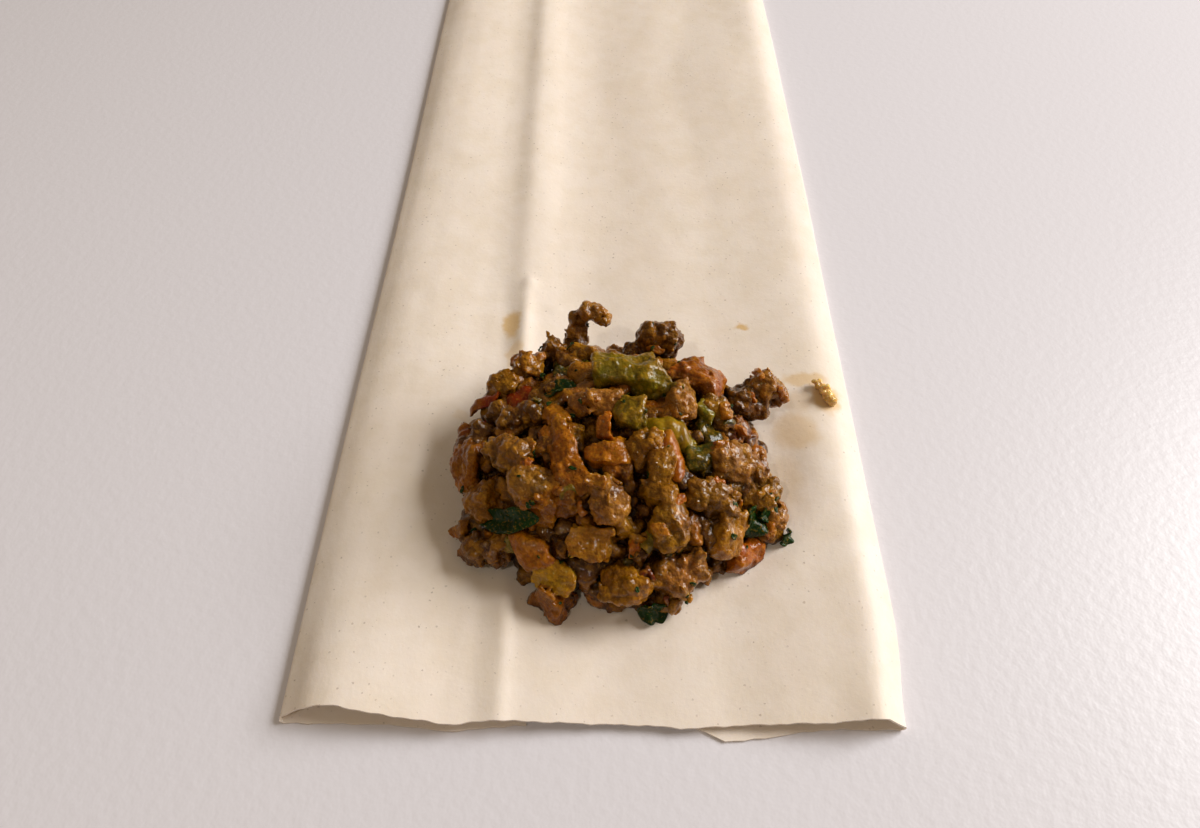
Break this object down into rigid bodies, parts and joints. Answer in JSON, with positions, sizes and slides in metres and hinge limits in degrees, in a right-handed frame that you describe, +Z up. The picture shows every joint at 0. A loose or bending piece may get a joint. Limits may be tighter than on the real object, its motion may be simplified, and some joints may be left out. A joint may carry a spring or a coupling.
{
  "type": "open briouat with filling",
  "caption": "Long strip of thin raw pastry with its sides folded under, carrying a heap of cooked mince and diced vegetables near one end, ready to be folded up.",
  "frame": {"origin": "centre of the strip's outline on the surface that it lies on", "axes": "+Y along the strip, from the end with the heap to the bare end; +X across the strip; +Z up"},
  "size_m": [0.08, 0.3, 0.0179],
  "materials": {
    "raw_pastry": "thin raw dough like soft paper: off-white, matt, faintly see-through, with fine brown bran specks and a few light oil stains",
    "cooked_filling": "wet cooked mince with diced pepper, carrot, onion, tomato skin and herbs: brown to orange and olive, with small sharp highlights"
  },
  "bodies": {
    "root": {"pastry_strip": "raw_pastry", "filling": "cooked_filling"}
  },
  "joints": []
}
